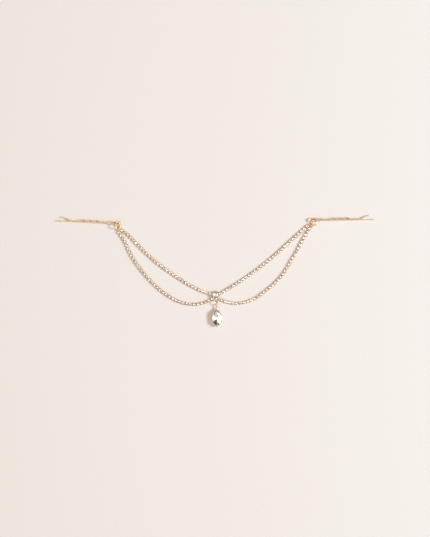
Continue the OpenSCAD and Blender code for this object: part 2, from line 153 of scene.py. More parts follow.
# Cut and polished crystal glass: quite clear, its faint tint seen only where the light goes through much of it
crystalGlass = cutGlass("cut_crystal_glass", {
    "darkTone": "#f8f5f6", "lightTone": "#ffffff", "cloudSize": 1.2, "ior": 1.56, "roughness": 0.015})


def mirrorFoil(name, look):
    # silver foil behind a stone; every facet holds its own share of tone, painted light and shade that stand in for the
    # bright and dark that cut glass shows from inside
    material = newMaterial(name)
    share = addNode(material, "ShaderNodeAttribute", {"attribute_name": "facetTone"})
    ramp = addNode(material, "ShaderNodeValToRGB", links={"Fac": share.outputs["Fac"]})
    stops = look["stops"]
    for spot, code in stops[2:]:
        ramp.color_ramp.elements.new(spot)
    for element, (spot, code) in zip(ramp.color_ramp.elements, stops):
        element.position, element.color = spot, linearFromHex(code)
    shader = addNode(material, "ShaderNodeBsdfPrincipled", {"Metallic": 1.0, "Roughness": look["roughness"]},
                     {"Base Color": ramp.outputs["Color"]})
    return finishMaterial(material, shader)


# Silvering under the two large stones: a clear mirror, whose colour is painted facet by facet with light and shade,
# from a blue-grey dark to white
silverFoil = mirrorFoil("silver_foil_backing", {
    "roughness": 0.08,
    "stops": [(0.0, "#566678"), (0.2, "#a2b1bd"), (0.45, "#e9e3ee"), (0.65, "#faf7f8"), (1.0, "#fffefd")]})

# The small stones' foil is sprayed on, so it is satin: each stone gathers light from a wider part of the room; its
# colours, grey to white, are painted light and shade picked by each facet's tone
sprayedFoil = mirrorFoil("sprayed_silver_backing", {
    "roughness": 0.19,
    "stops": [(0.0, "#8d8a88"), (0.3, "#d8d6d2"), (0.6, "#f4f3f0"), (1.0, "#ffffff")]})
print("materials made")


# Shared ways of making a mesh, all in millimetres

def islandsOf(node):
    # the loose solids of a CAD node, as lists of points in millimetres
    bm = bmesh.new()
    bm.from_mesh(cadNodes[node].data)
    bmesh.ops.remove_doubles(bm, verts=bm.verts, dist=1e-6)
    seen, islands = set(), []
    for start in bm.verts:
        if start in seen:
            continue
        seen.add(start)
        waiting, island = [start], []
        while waiting:
            vert = waiting.pop()
            island.append(vert.co / mm)
            for edge in vert.link_edges:
                other = edge.other_vert(vert)
                if other not in seen:
                    seen.add(other)
                    waiting.append(other)
        islands.append(island)
    bm.free()
    return islands


def edgesAmong(verts):
    inside = set(verts)
    return list({e for v in verts for e in v.link_edges if set(e.verts) <= inside})


def frameAt(point, along, side, scale=1.0):
    # a placing matrix whose z runs along the sweep and whose y is as near to side as it can be
    zAxis = along.normalized()
    xAxis = side.cross(zAxis).normalized()
    yAxis = zAxis.cross(xAxis)
    turn = Matrix((xAxis, yAxis, zAxis)).transposed().to_4x4()
    return Matrix.Translation(point) @ turn @ Matrix.Diagonal((scale, scale, 1, 1))


def extrudeLoop(bm, edges):
    # extrudes an open rim once, and gives its new corners and edges
    geometry = bmesh.ops.extrude_edge_only(bm, edges=edges)["geom"]
    verts = [g for g in geometry if isinstance(g, bmesh.types.BMVert)]
    inside = set(verts)
    return verts, [g for g in geometry if isinstance(g, bmesh.types.BMEdge) and set(g.verts) <= inside]


def sweepFrames(bm, loop, frames):
    # carries a flat loop from one placing matrix to the next by extruding it, and closes both ends
    first = edges = edgesAmong(loop)
    bmesh.ops.transform(bm, matrix=frames[0], verts=loop)
    made = list(loop)
    for before, after in zip(frames, frames[1:]):
        verts, edges = extrudeLoop(bm, edges)
        bmesh.ops.transform(bm, matrix=after @ before.inverted(), verts=verts)
        made += verts
    bmesh.ops.holes_fill(bm, edges=first + edges)
    return made


def sweep(bm, loop, points, side, scales):
    # carries a flat loop along the points, made thinner or thicker by the scales
    last = len(points) - 1
    frames = [frameAt(points[k], points[min(k + 1, last)] - points[max(k - 1, 0)], side, scales[k])
              for k in range(last + 1)]
    return sweepFrames(bm, loop, frames)


def roundLoop(bm, radius, segments):
    return bmesh.ops.create_circle(bm, cap_ends=False, radius=radius, segments=segments)["verts"]


def strapLoop(bm, thick, width, rounding, steps):
    # the outline of a flat wire with rounded edges
    verts = bmesh.ops.create_grid(bm, x_segments=1, y_segments=1, size=0.5)["verts"]
    bmesh.ops.scale(bm, vec=(thick, width, 1), verts=verts)
    bmesh.ops.bevel(bm, geom=verts, offset=rounding, offset_type="OFFSET", segments=steps, profile=0.5,
                    affect="VERTICES", material=-1)
    face = [f for f in bm.faces if len(f.verts) == 4 * (steps + 1)][-1]
    loop = list(face.verts)
    bmesh.ops.delete(bm, geom=[face], context="FACES_ONLY")
    return loop


def spunRing(bm, matrix, radius, wire, segments, sides, opening=0.0):
    # a ring of round wire; with an opening its two sawn ends face each other
    loop = roundLoop(bm, wire / 2, sides)
    stand = Matrix.Translation((radius, 0, 0)) @ Matrix.Rotation(math.pi / 2, 4, "X")
    bmesh.ops.transform(bm, matrix=stand, verts=loop)
    turn = 2 * math.pi - opening / radius
    known = set(bm.verts) - set(loop)
    ends = edgesAmong(loop)
    spun = bmesh.ops.spin(bm, geom=loop + ends, cent=(0, 0, 0), axis=(0, 0, 1), angle=turn, steps=segments,
                          use_merge=not opening)
    if opening:
        tail = [g for g in spun["geom_last"] if isinstance(g, bmesh.types.BMEdge)]
        bmesh.ops.holes_fill(bm, edges=ends + tail)
    bmesh.ops.transform(bm, matrix=matrix, verts=[v for v in bm.verts if v not in known])


def spunProfile(bm, profile, segments):
    # a turned shape from its outline in x and z, which starts and ends on the axis
    verts = [bm.verts.new((x, 0, z)) for x, z in profile]
    edges = [bm.edges.new(pair) for pair in zip(verts, verts[1:])]
    bmesh.ops.spin(bm, geom=verts + edges, cent=(0, 0, 0), axis=(0, 0, 1), angle=2 * math.pi, steps=segments,
                   use_merge=True)
    bmesh.ops.remove_doubles(bm, verts=bm.verts, dist=1e-5)


def shadeByAngle(bm, degrees):
    for face in bm.faces:
        face.smooth = True
    for edge in bm.edges:
        if len(edge.link_faces) == 2 and edge.calc_face_angle(0) > math.radians(degrees):
            edge.smooth = False


def meshFrom(bm, name):
    mesh = bpy.data.meshes.new(name)
    bm.to_mesh(mesh)
    bm.free()
    return mesh


def addTemplate(bm, template, matrix):
    copy = template.copy()
    copy.transform(matrix)
    bm.from_mesh(copy)
    bpy.data.meshes.remove(copy)


def finishPiece(name, bm, materials, nodes, turnOut=True):
    # millimetres to metres, normals outward, then the piece is hung on the frame
    bmesh.ops.scale(bm, vec=(mm, mm, mm), verts=bm.verts)
    if turnOut:
        bmesh.ops.recalc_face_normals(bm, faces=bm.faces)
    mesh = meshFrom(bm, name)
    for material in materials:
        mesh.materials.append(material)
    piece = bpy.data.objects.new(name, mesh)
    bpy.context.scene.collection.objects.link(piece)
    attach(piece, "root")
    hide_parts(*nodes)


# Cut stones

def cutStone(rows, backBelow):
    # a stone from rows of facet corners, each row an outline drawn in by a share, at a height; the facets come from
    # the hull of the corners, and those that face down below backBelow are the foiled back
    bm = bmesh.new()
    corners = [bm.verts.new((x * share, y * share, height)) for outline, share, height in rows for x, y in outline]
    hull = bmesh.ops.convex_hull(bm, input=corners, use_existing_faces=False)
    unused = [g for g in hull["geom_interior"] + hull["geom_unused"] if isinstance(g, bmesh.types.BMVert)]
    bmesh.ops.delete(bm, geom=unused, context="VERTS")
    bmesh.ops.dissolve_limit(bm, angle_limit=math.radians(1.5), verts=bm.verts, edges=bm.edges)
    middle = sum((v.co for v in bm.verts), Vector()) / len(bm.verts)
    bmesh.ops.reverse_faces(bm, faces=[f for f in bm.faces if f.normal.dot(f.calc_center_median() - middle) < 0])
    for face in bm.faces:
        face.smooth = False
        face.material_index = 1 if face.calc_center_median().z < backBelow and face.normal.z < -0.05 else 0
    return bm


def circleOutline(count, turn):
    step = 2 * math.pi / count
    return [(math.cos(turn + k * step), math.sin(turn + k * step)) for k in range(count)]


def toneFacets(bm, pick):
    # every facet's share of tone, which the foil's colours follow: painted light and shade
    layer = bm.faces.layers.float.new("facetTone")
    for face in bm.faces:
        face[layer] = pick(face)


def asShare(value):
    # a tone kept between none and full
    return min(1, max(0, value))


# Cup chain

cupChain = {
    "sides": 16, "radius": 1.25, "wall": 0.16, "height": 1.23, "lip": 0.1, "seat": 1.15, "floor": 0.2, "foot": 0.12,
    "edge": 0.02, "slotLow": 0.3, "slotHigh": 0.88, "slotHalf": 0.4,
    "prongSides": 6, "prongWidth": 0.5, "prongThick": 0.18, "prongOut": 0.036,
    "prongFoot": 0.75, "prongTop": 1.6, "prongLean": 0.3,
    "prongPath": [(0, 0, 0.9), (0, 0.66, 1), (0.2, 0.86, 0.95), (0.65, 0.97, 0.8), (1, 0.98, 0.5)],  # lean, rise, size
    "neckWidth": 0.5, "neckThick": 0.3, "neckLow": 0.43, "neckCorner": 0.54,  # of an eight-sided strip 1 across
    "headDiameter": 0.95, "headExtra": 0.1, "headWall": 0.18, "clear": 0.13, "tilt": 0.6, "turn": 5}
cupStone = {"radius": 1.13, "girdleHeight": 1.26, "girdle": 0.07, "table": 0.67, "shoulder": 0.9, "shoulderRise": 0.18,
            "crownTilt": 23, "kneeShare": 0.7, "kneeTilt": 26, "backTilt": 15.0,
            "tone": (0.8, 0.98), "toneSpread": 0.08}


def cupMesh():
    c = cupChain
    bm = bmesh.new()
    r, top, edge = c["radius"], c["height"], c["edge"]
    inner, lip = r - c["wall"], r - c["lip"]
    profile = [(0, 0), (r - c["foot"], 0), (r, c["foot"]), (r, c["slotLow"]), (r, c["slotHigh"]), (r, top - 3 * edge),
               (r - edge, top - edge), (r - 2.5 * edge, top), (lip, top - edge / 2), (lip, c["seat"]),
               (inner, c["seat"] - edge), (inner, c["slotHigh"]), (inner, c["slotLow"]), (inner, c["floor"]),
               (0, c["floor"])]
    spunProfile(bm, profile, c["sides"])
    # the slot that the last cup's neck comes in through, two sides wide, at the -x side
    middle = (c["slotLow"] + c["slotHigh"]) / 2
    spots = [(f, f.calc_center_median()) for f in bm.faces]
    gone = [f for f, p in spots if abs(p.z - middle) < edge and p.x < 0 and abs(p.y) < c["slotHalf"]]
    rim = [e for f in gone for e in f.edges if sum(g in gone for g in e.link_faces) == 1]
    bmesh.ops.delete(bm, geom=gone, context="FACES")
    bmesh.ops.bridge_loops(bm, edges=[e for e in rim if e.is_valid])
    # four prongs between the necks, folded over the stone's edge
    stand, rise = r + c["prongOut"], c["prongTop"] - c["prongFoot"]
    path = [Vector((stand - c["prongLean"] * lean, 0, c["prongFoot"] + rise * up)) for lean, up, size in c["prongPath"]]
    for k in range(4):
        loop = roundLoop(bm, 0.5, c["prongSides"])
        bmesh.ops.scale(bm, vec=(c["prongThick"], c["prongWidth"], 1), verts=loop)
        verts = sweep(bm, loop, path, sideways, [size for lean, up, size in c["prongPath"]])
        bmesh.ops.rotate(bm, cent=(0, 0, 0), matrix=Matrix.Rotation(math.pi * (0.25 + k / 2), 3, "Z"), verts=verts)
    bmesh.ops.recalc_face_normals(bm, faces=bm.faces)
    shadeByAngle(bm, 40)
    return meshFrom(bm, "cup_template")


def addNeck(bm, here, toward, reach):
    # the strip that leaves a cup and the head that the next one holds, from a cup's edge to the head's centre
    c = cupChain
    start, height = c["radius"] - c["wall"], c["neckLow"] + c["neckThick"] / 2
    strip = bmesh.ops.create_cone(bm, cap_ends=True, segments=8, radius1=c["neckCorner"], radius2=c["neckCorner"],
                                  depth=1)["verts"]
    bmesh.ops.rotate(bm, cent=(0, 0, 0), matrix=Matrix.Rotation(math.pi / 2, 3, "Y"), verts=strip)
    bmesh.ops.scale(bm, vec=(reach - start, c["neckWidth"], c["neckThick"]), verts=strip)
    bmesh.ops.translate(bm, vec=((reach + start) / 2, 0, height), verts=strip)
    head = bmesh.ops.create_cone(bm, cap_ends=True, segments=12, radius1=c["headDiameter"] / 2,
                                 radius2=c["headDiameter"] / 2, depth=c["neckThick"] + c["headExtra"])["verts"]
    bmesh.ops.translate(bm, vec=(reach, 0, height), verts=head)
    # the strip and head take the link gold, whose darker colour is painted shade between the cups
    for face in {f for v in strip + head for f in v.link_faces}:
        face.material_index = 1
    turn = Matrix.Rotation(math.atan2(toward.y, toward.x), 4, "Z")
    bmesh.ops.transform(bm, matrix=Matrix.Translation((here.x, here.y, 0)) @ turn, verts=strip + head)


def neckReach(distance, held):
    # from a cup's middle to its head's centre, where the head sits inside a wall of the held radius
    return distance - (held - cupChain["clear"] - cupChain["headDiameter"] / 2)


def foiledRound(s, sides=8):
    # rows of a round stone's facet corners: table, shoulder, girdle, the knee and point of its shallow foiled back
    turn, fine = math.pi / sides, math.pi / sides / 2
    shoulder, knee = s["radius"] * s["shoulder"], s["radius"] * s["kneeShare"]
    table = s["radius"] * s["table"]
    tableHeight = s["shoulderRise"] + (shoulder - table) * math.tan(math.radians(s["crownTilt"]))
    kneeHeight = -s["girdle"] - (s["radius"] - knee) * math.tan(math.radians(s["kneeTilt"]))
    point = kneeHeight - knee * math.cos(turn) * math.tan(math.radians(s["backTilt"]))
    return [(circleOutline(sides, turn), table, tableHeight),
            (circleOutline(sides, turn), shoulder, s["shoulderRise"]),
            (circleOutline(2 * sides, fine), s["radius"], 0),
            (circleOutline(2 * sides, fine), s["radius"], -s["girdle"]),
            (circleOutline(sides, turn), knee, kneeHeight),
            (circleOutline(1, 0), 0, point)]


def stoneMesh():
    bm = cutStone(foiledRound(cupStone), -cupStone["girdle"])
    toneFacets(bm, lambda face: 0.5)
    return meshFrom(bm, "stone_template")


settingCentre = Vector((0, (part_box("centre_stone")[0].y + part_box("centre_stone")[1].y) / 2 / mm, 0))


def cupCentres(node):
    # the cups' places along a strand, from the centre stone outward
    centres = []
    for island in islandsOf(node):
        top = max(p.z for p in island)
        ring = [p for p in island if p.z > top - 1e-3]
        centres.append(Vector((sum(p.x for p in ring), sum(p.y for p in ring), 0)) / len(ring))
    chain, here = [], settingCentre
    while centres:
        here = min(centres, key=lambda p: (p - here).length)
        centres.remove(here)
        chain.append(here)
    return chain


cupTemplate, stoneTemplate = cupMesh(), stoneMesh()
strandNodes = ["left_upper_strand", "left_lower_strand", "right_upper_strand", "right_lower_strand"]
chains = {node: cupCentres(node) for node in strandNodes}
centreWall = 2.0  # inner radius of the centre setting, where the last heads sit
draw = random.Random(11)


def anyTurn(limit):
    # a turn of up to so many degrees either way
    return math.radians(draw.uniform(-1, 1) * limit)


for node in strandNodes:
    c, chain = cupChain, chains[node]
    metal, glass = bmesh.new(), bmesh.new()
    layer = glass.faces.layers.float.new("facetTone")
    for k, here in enumerate(chain):
        away = (chain[k - 1] if k else settingCentre) - here
        held = c["radius"] - c["headWall"] if k else centreWall
        addTemplate(metal, cupTemplate, Matrix.Translation(here) @ Matrix.Rotation(math.atan2(away.y, away.x), 4, "Z"))
        addNeck(metal, here, away, neckReach(away.length, held))
        known = len(glass.faces)
        spot = Matrix.Translation(here + Vector((0, 0, cupStone["girdleHeight"])))
        lean = Matrix.Rotation(anyTurn(c["tilt"]), 4, "X") @ Matrix.Rotation(anyTurn(c["tilt"]), 4, "Y")
        addTemplate(glass, stoneTemplate, spot @ lean @ Matrix.Rotation(anyTurn(c["turn"]), 4, "Z"))
        glass.faces.ensure_lookup_table()
        # painted light and shade on each stone's foil, varied at random from stone to stone and facet to facet
        base = draw.uniform(*cupStone["tone"])
        for face in glass.faces[known:]:
            face[layer] = asShare(base + draw.gauss(0, cupStone["toneSpread"]))
    metalName, stoneName = node.replace("strand", "cups"), node.replace("strand", "stones")
    finishPiece(metalName, metal, [cupPlate, shadedLinkPlate], [node], turnOut=False)
    finishPiece(stoneName, glass, [crystalGlass, sprayedFoil], [node], turnOut=False)
    print(node, "dressed:", len(chain), "cups")


# Hair pins

hairPin = {"rounding": 0.2, "steps": 3, "straightSteps": 20, "smoothing": 3,
           "tip": [(0.0, 0.45), (0.08, 0.78), (0.2, 0.96), (0.4, 1.0)]}  # distance from the end, and thickness there


def pinLine(node):
    # the middle line of the pin's flat wire and its upward side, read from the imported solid's upper face
    bm = bmesh.new()
    bm.from_mesh(cadNodes[node].data)
    bmesh.ops.remove_doubles(bm, verts=bm.verts, dist=1e-6)
    bmesh.ops.dissolve_limit(bm, angle_limit=0.002, verts=bm.verts, edges=bm.edges)
    caps = sorted(bm.faces, key=lambda f: len(f.verts))[-2:]
    upper = max(caps, key=lambda f: f.calc_center_median().z)
    lower = min(caps, key=lambda f: f.calc_center_median().z)
    rim = [v.co / mm for v in upper.verts]
    up = upper.normal.copy()
    if up.z < 0:
        up = -up
    width = (upper.calc_center_median() - lower.calc_center_median()).dot(up) / mm
    count = len(rim)
    outward = 1 if node == "right_pin" else -1
    tip = max(range(count), key=lambda k: outward * (rim[k].x + rim[(k + 1) % count].x))
    rim = [rim[(tip + 1 + k) % count] for k in range(count)]
    thick = (rim[0] - rim[-1]).length
    line = [(rim[k] + rim[count - 1 - k]) / 2 - up * width / 2 for k in range(count // 2)]
    bm.free()
    return line, up, width, thick


def smoothLine(points, steps):
    # a smooth line that passes through all the points
    last, out = len(points) - 1, []
    for k in range(last):
        a, b, c, d = points[max(k - 1, 0)], points[k], points[k + 1], points[min(k + 2, last)]
        for s in range(steps):
            t = s / steps
            out.append((b * 2 + (c - a) * t + (a * 2 - b * 5 + c * 4 - d) * t * t
                        + (b * 3 - a - c * 3 + d) * t ** 3) / 2)
    return out + [points[-1]]


for node in ("left_pin", "right_pin"):
    p = hairPin
    line, up, width, thick = pinLine(node)
    straight = [line[0].lerp(line[1], s / p["straightSteps"]) for s in range(p["straightSteps"])]
    line = straight + smoothLine(line[1:], p["smoothing"])
    scales = [1.0] * len(line)
    for tip in range(2):  # one tip is rounded off, then the line is turned round for the other
        back = (line[1] - line[0]).normalized()
        line = [line[0] + back * distance for distance, size in p["tip"]] + line[1:]
        scales = [size for distance, size in p["tip"]] + scales[1:]
        line.reverse()
        scales.reverse()
    bm = bmesh.new()
    loop = strapLoop(bm, thick, width, p["rounding"], p["steps"])
    sweep(bm, loop, line, up, scales)
    shadeByAngle(bm, 40)
    finishPiece(node.replace("pin", "hair_pin"), bm, [pinLacquer], [node])
print("hair pins swept")


# Jump rings

jumpRing = {"segments": 48, "sides": 16, "opening": 0.07,
            # radius, wire and the angle of the sawn gap
            "left_ring": (2.4, 0.8, 200), "right_ring": (2.4, 0.8, -20), "drop_ring": (1.7, 0.6, 40)}


def ringPlace(node):
    # centre and axis of a CAD ring, from the spread of its points
    points = np.array([v.co[:] for v in cadNodes[node].data.vertices]) / mm
    points = np.unique(points.round(5), axis=0)
    centre = (points.min(0) + points.max(0)) / 2
    axis = Vector(np.linalg.svd(points - points.mean(0))[2][2])
    return Vector(centre), (axis if axis.z > 0 else -axis)


for node in ("left_ring", "right_ring", "drop_ring"):
    radius, wire, sawn = jumpRing[node]
    centre, axis = ringPlace(node)
    matrix = frameAt(centre, axis, sideways) @ Matrix.Rotation(math.radians(sawn), 4, "Z")
    bm = bmesh.new()
    spunRing(bm, matrix, radius, wire, jumpRing["segments"], jumpRing["sides"], jumpRing["opening"])
    shadeByAngle(bm, 50)
    plate = paleGold if node == "drop_ring" else goldPlate
    finishPiece(node.replace("ring", "jump_ring"), bm, [plate], [node])
print("jump rings spun")


# End bars

endBar = {"length": 4.2, "thick": 0.8, "bottom": 0.2, "firstCup": 2.15, "rounding": 0.16,
          "eyeRadius": 0.95, "eyeWire": 0.4, "eyeSegments": 32, "eyeSides": 12}


def addBar(bm, length, thick, height, rounding):
    verts = bmesh.ops.create_cube(bm, size=1)["verts"]
    bmesh.ops.scale(bm, vec=(thick, length, height), verts=verts)
    edges = edgesAmong(verts)
    made = bmesh.ops.bevel(bm, geom=edges, offset=rounding, offset_type="OFFSET", segments=3, profile=0.5,
                           affect="EDGES", material=-1, clamp_overlap=True)
    return list({v for f in made["faces"] for v in f.verts} | {v for v in verts if v.is_valid})


for side in ("left", "right"):
    b, c = endBar, cupChain
    upper, lower = chains[side + "_upper_strand"][-1], chains[side + "_lower_strand"][-1]
    node = side + "_end_bar"
    ringMiddle, ringAxis = ringPlace(side + "_ring")
    middle = (upper + lower) / 2
    across = (upper - lower).normalized()
    along = Vector((across.y, -across.x, 0))
    if along.dot(middle - Vector((ringMiddle.x, ringMiddle.y, 0))) < 0:
        along = -along
    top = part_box(node)[1].z / mm
    eyeHeight = top - b["eyeRadius"] - b["eyeWire"] / 2
    barTop = eyeHeight + b["eyeWire"] / 2
    centre = middle - along * b["firstCup"]
    turn = Matrix.Rotation(math.atan2(along.y, along.x), 4, "Z")
    bm = bmesh.new()
    bar = addBar(bm, b["length"], b["thick"], barTop - b["bottom"], b["rounding"])
    bmesh.ops.translate(bm, vec=(0, 0, (barTop + b["bottom"]) / 2), verts=bar)
    eyePlace = Matrix.Translation((-b["thick"] / 2 - b["eyeRadius"], 0, eyeHeight)) \
        @ Matrix.Rotation(math.pi / 2, 4, "X")
    spunRing(bm, eyePlace, b["eyeRadius"], b["eyeWire"], b["eyeSegments"], b["eyeSides"])
    bmesh.ops.transform(bm, matrix=Matrix.Translation(centre) @ turn, verts=bm.verts)
    for cup in (upper, lower):
        addNeck(bm, cup - along * b["firstCup"], along, neckReach(b["firstCup"], c["radius"] - c["headWall"]))
    shadeByAngle(bm, 40)
    finishPiece(node.replace("end", "soldered_end"), bm, [goldPlate, shadedLinkPlate], [node])
print("end bars made")


# Centre setting and its stone

centreSetting = {"baseRadius": 2.4, "baseHeight": 2.1, "wall": 0.4, "rimRadius": 2.78, "seatRadius": 2.48,
                 "seatDepth": 0.22, "girdleHeight": 2.7, "floor": 0.2, "segments": 64,
                 "foot": [(0.25, 0), (0.07, 0.07), (0, 0.25)],  # in from the base's side, up from the floor
                 "rim": [(0.01, 0.16), (0.04, 0.08), (0.1, 0.02), (0.17, 0), (0.24, 0.03)],  # in and down from its top
                 "claws": 6, "clawTurn": 8, "claw": 0.6, "clawFoot": 1.2, "shankThick": 0.56}
centreStone = {"radius": 2.4, "girdleHeight": 2.7, "girdle": 0.12, "table": 0.56, "shoulder": 0.84, "shoulderRise": 0.3,
               "crownTilt": 26, "kneeShare": 0.62, "kneeTilt": 29, "backTilt": 15.1, "tone": 0.66, "toneSpread": 0.24}
smallEye = {"radius": 0.725, "wire": 0.45, "segments": 32, "sides": 12}  # the eyes on the drop's jump ring
# a claw's outline as shares of its thickness: how far it stands outside the seat, then how its top folds inward
clawShape = {"out": 0.42, "belly": 0.03,
             "fold": [(0, 0, 1.0), (0.16, 0.38, 0.98), (0.46, 0.68, 0.9), (0.739, 0.86, 0.66), (0.8816, 0.92, 0.3)]}


def addEye(bm, spot, ringAxis):
    # an eye threaded by the leaning jump ring
    e = smallEye
    spunRing(bm, frameAt(spot, ringAxis.cross(sideways), sideways), e["radius"], e["wire"], e["segments"], e["sides"])


def addClaw(bm, seatRadius, foot, girdleHeight, size, matrix, sides=12):
    # a claw that stands against the seat, thins toward its tip and folds over the stone's edge
    radius = seatRadius + size * clawShape["out"]
    path = [(radius, foot, 0.9), (radius + clawShape["belly"], (foot + girdleHeight) / 2, 1.0)]
    path += [(radius - size * inward, girdleHeight + size * up, thick) for inward, up, thick in clawShape["fold"]]
    verts = sweep(bm, roundLoop(bm, size / 2, sides), [Vector((x, 0, z)) for x, z, thick in path], sideways,
                  [thick for x, z, thick in path])
    bmesh.ops.transform(bm, matrix=matrix, verts=verts)


s = centreSetting
bm = bmesh.new()
seat = s["girdleHeight"] - s["seatDepth"]
inner = s["baseRadius"] - s["wall"]
profile = [(0, 0)] + [(s["baseRadius"] - x, z) for x, z in s["foot"]] + [(s["baseRadius"], s["baseHeight"])]
profile += [(s["rimRadius"] - x, s["girdleHeight"] - z) for x, z in s["rim"]]
profile += [(s["seatRadius"], s["girdleHeight"] - 0.1), (s["seatRadius"], seat), (inner, seat - 0.4),
            (inner, s["floor"]), (0, s["floor"])]
spunProfile(bm, profile, s["segments"])
for k in range(s["claws"]):
    turn = math.radians(s["clawTurn"] + 360 * k / s["claws"])
    addClaw(bm, s["seatRadius"], s["clawFoot"], s["girdleHeight"], s["claw"], Matrix.Rotation(turn, 4, "Z"))
ringMiddle, ringAxis = ringPlace("drop_ring")
dropRing = jumpRing["drop_ring"][0]
eyeSpot = ringMiddle + Vector((0, dropRing, 0)) - settingCentre
addEye(bm, eyeSpot, ringAxis)
# the shank between the eye and the setting's wall
wallDepth = math.sqrt((s["baseRadius"] - s["wall"] / 2) ** 2 - eyeSpot.x ** 2)
shankStart = eyeSpot.y + smallEye["radius"]
shankEnds = (shankStart - 0.08, shankStart + 0.3, -wallDepth - 0.3, -wallDepth)
sweep(bm, roundLoop(bm, s["shankThick"] / 2, 12), [Vector((eyeSpot.x, y, eyeSpot.z)) for y in shankEnds], upright,
      [0.86, 0.92, 1.0, 1.0])
bmesh.ops.translate(bm, vec=settingCentre, verts=bm.verts)
shadeByAngle(bm, 35)
finishPiece("centre_claw_setting", bm, [paleGold], ["centre_setting"])

s = centreStone
bm = cutStone(foiledRound(s), -s["girdle"])
# the foil's painted light and shade, a random tone for every facet
toneFacets(bm, lambda face: asShare(draw.gauss(centreStone["tone"], centreStone["toneSpread"])))
bmesh.ops.translate(bm, vec=settingCentre + Vector((0, 0, s["girdleHeight"])), verts=bm.verts)
finishPiece("centre_crystal", bm, [crystalGlass, silverFoil], ["centre_stone"], turnOut=False)
print("centre stone set")


# Drop

dropStone = {"length": 12.4, "width": 7.2, "endRadius": 1.2, "girdleHeight": 3.2, "girdle": 0.14, "crownSlope": 0.49,
             "girdleAngles": [0, 12, 24, 36, 60], "tableWide": 0.8, "tableLong": 3.2, "tableTip": 4.0,
             "shoulderWide": 1.9, "shoulderLong": 4.4, "keelDepth": 1.0, "keelHigh": 0.8, "keelLow": -0.8,
             "rightTone": (0.75, 0.9), "leftTone": (0.8, 1.0), "greyBand": (1.9, 2.6, 0.3),  # from, to, tone of a painted grey band
             "wedge": [(-2.3, 0.34), (-4.0, 0.04), (-6.2, 0.5)]}  # lower ends of the facets with painted dark reflections, and their tones
dropSetting = {"wall": 0.4, "clear": 0.08, "turn": 2, "floor": 0.4,
               "claw": 0.75, "clawShare": 0.62, "clawFoot": 1.4, "clawSides": 14,
               "foot": [(0.22, 0), (0.06, 0.06), (0, 0.22)],  # in from the side, up from the floor
               "rim": [(0, 0.5), (0.03, 0.34), (0.1, 0.18), (0.2, 0.06), (0.3, 0.02)],  # in and down from its top
               "stemThin": 0.56, "stemWide": 2.3, "stemDeep": 1.1, "stemSides": 14}
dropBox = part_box("drop_stone")
dropCentre = (dropBox[0] + dropBox[1]) / 2 / mm
dropCentre.z = 0


def sideArcRadius(length, width, end):
    # radius of the long arcs of a pointed oval whose ends are arcs of radius end; halves are given
    return ((length - end) ** 2 + width ** 2 - end ** 2) / (2 * (width - end))


def ovalOutline(length, width, end, angles):
    # points of a pointed oval, half sizes given, from the +x side round to it again
    big = sideArcRadius(length, width, end)
    meet = math.atan2(length - end, big - width)
    quarter = []
    for degrees in angles:
        a = math.radians(degrees)
        if a < meet * 0.999:
            quarter.append((width - big + big * math.cos(a), big * math.sin(a)))
        else:
            quarter.append((end * math.cos(a), length - end + end * math.sin(a)))
    half = quarter + [(0, length)] + [(-x, y) for x, y in reversed(quarter[1:])]
    return half + [(-x, -y) for x, y in half]


d, s = dropStone, dropSetting
halfLong, halfWide = d["length"] / 2, d["width"] / 2
girdleLine = ovalOutline(halfLong, halfWide, d["endRadius"], d["girdleAngles"])
crownHeight = d["crownSlope"] * (halfWide - d["tableWide"])
shoulderHeight = d["crownSlope"] * (halfWide - d["shoulderWide"])


def fourCorners(wide, long):
    return [(x, y) for x in (-wide, wide) for y in (-long, long)]


tableCorners = fourCorners(d["tableWide"], d["tableLong"]) + [(0, d["tableTip"]), (0, -d["tableTip"])]
bm = cutStone([(tableCorners, 1, crownHeight),
               (fourCorners(d["shoulderWide"], d["shoulderLong"]), 1, shoulderHeight),
               (girdleLine, 1, 0),
               (girdleLine, 1, -d["girdle"]),
               ([(0, d["keelHigh"]), (0, d["keelLow"])], 1, -d["girdle"] - d["keelDepth"])], -d["girdle"])


def dropTone(face):
    # painted reflections: the back facets on the left, below the keel's low end, take dark tones that paint in the dark
    # of the room; a grey band is painted higher on the left, and the other facets are light
    middle = face.calc_center_median()
    if middle.z > -d["girdle"] or middle.x > -0.1:
        return draw.uniform(*d["rightTone"])
    if middle.y < d["keelLow"]:
        return next(tone for low, tone in d["wedge"] if middle.y > low)
    low, high, tone = d["greyBand"]
    return tone if low < middle.y < high else draw.uniform(*d["leftTone"])


toneFacets(bm, dropTone)
dropPlace = Matrix.Translation(dropCentre) @ Matrix.Rotation(math.radians(s["turn"]), 4, "Z")
bmesh.ops.transform(bm, matrix=dropPlace @ Matrix.Translation((0, 0, d["girdleHeight"])), verts=bm.verts)
finishPiece("drop_crystal", bm, [crystalGlass, silverFoil], ["drop_stone"], turnOut=False)

bm = bmesh.new()
clear, wall, rim = s["clear"], s["wall"], d["girdleHeight"]
outside = clear + wall
angles = range(0, 90, 6)
spot = bm.verts.layers.int.new("spot")  # each corner's number round the oval, kept by the corners extruded from it


def placeOval(verts, grow, height):
    # puts a row of corners on the pointed oval, grown outward by so much
    points = ovalOutline(halfLong + grow, halfWide + grow, d["endRadius"] + grow, angles)
    for vert in verts:
        vert.co = Vector((*points[vert[spot]], height))


